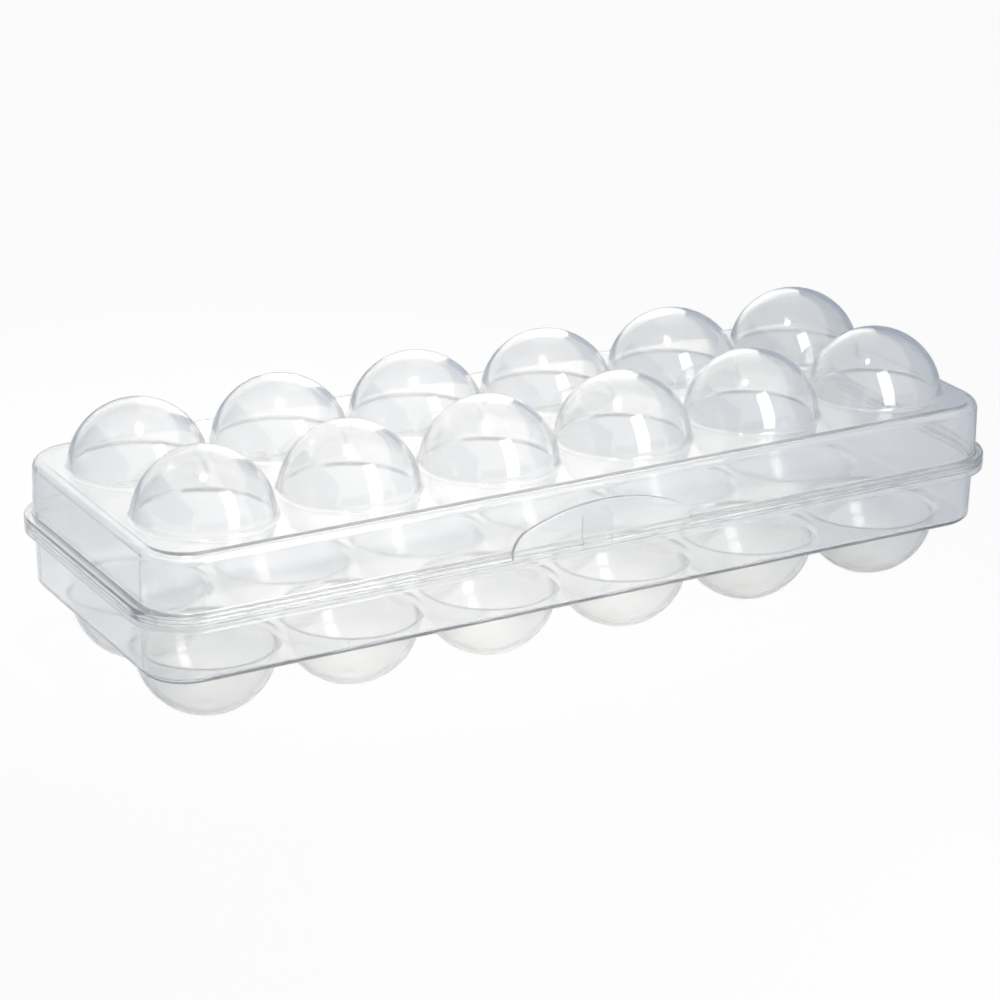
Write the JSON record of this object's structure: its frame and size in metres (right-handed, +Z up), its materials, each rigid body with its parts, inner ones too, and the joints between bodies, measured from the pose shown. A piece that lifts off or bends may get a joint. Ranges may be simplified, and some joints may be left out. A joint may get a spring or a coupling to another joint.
{
  "type": "egg keeper with flip lid",
  "caption": "Clear plastic egg keeper: a shallow tray with rows of round egg cups under it and a hinged lid with matching domes and a half-moon lift tab.",
  "frame": {"origin": "middle of the box's outline in plan, on the table plane under the cups", "axes": "+X along the long side, to the right when seen from the lift tab; -Y towards the lift tab, +Y towards the hinge; +Z up"},
  "size_m": [0.3138, 0.1215, 0.0865],
  "materials": {
    "tray_plastic": "clear, colourless moulded plastic, polished, faintly blue-grey at the edges",
    "lid_plastic": "clear, colourless moulded plastic, polished, faintly blue-grey at the edges"
  },
  "bodies": {
    "base": {"tray_floor": "tray_plastic", "tray_wall": "tray_plastic", "tray_rim": "tray_plastic", "egg_cup_front_1": "tray_plastic", "egg_cup_front_2": "tray_plastic", "egg_cup_front_3": "tray_plastic", "egg_cup_front_4": "tray_plastic", "egg_cup_front_5": "tray_plastic", "egg_cup_front_6": "tray_plastic", "egg_cup_back_1": "tray_plastic", "egg_cup_back_2": "tray_plastic", "egg_cup_back_3": "tray_plastic", "egg_cup_back_4": "tray_plastic", "egg_cup_back_5": "tray_plastic", "egg_cup_back_6": "tray_plastic", "catch_tongue": "tray_plastic", "base_hinge_left": "tray_plastic", "base_hinge_right": "tray_plastic"},
    "lid": {"lid_panel": "lid_plastic", "lid_wall": "lid_plastic", "lid_rim": "lid_plastic", "lid_dome_front_1": "lid_plastic", "lid_dome_front_2": "lid_plastic", "lid_dome_front_3": "lid_plastic", "lid_dome_front_4": "lid_plastic", "lid_dome_front_5": "lid_plastic", "lid_dome_front_6": "lid_plastic", "lid_dome_back_1": "lid_plastic", "lid_dome_back_2": "lid_plastic", "lid_dome_back_3": "lid_plastic", "lid_dome_back_4": "lid_plastic", "lid_dome_back_5": "lid_plastic", "lid_dome_back_6": "lid_plastic", "lift_tab": "lid_plastic", "lid_clip_left": "lid_plastic", "lid_clip_right": "lid_plastic"}
  },
  "joints": [
    {"name": "lid_hinge", "type": "hinge", "parent": "base", "child": "lid", "pos_m": [0, 0.05775, 0.04444], "axis": [-1, 0, 0], "range_deg": [0, 180]}
  ]
}
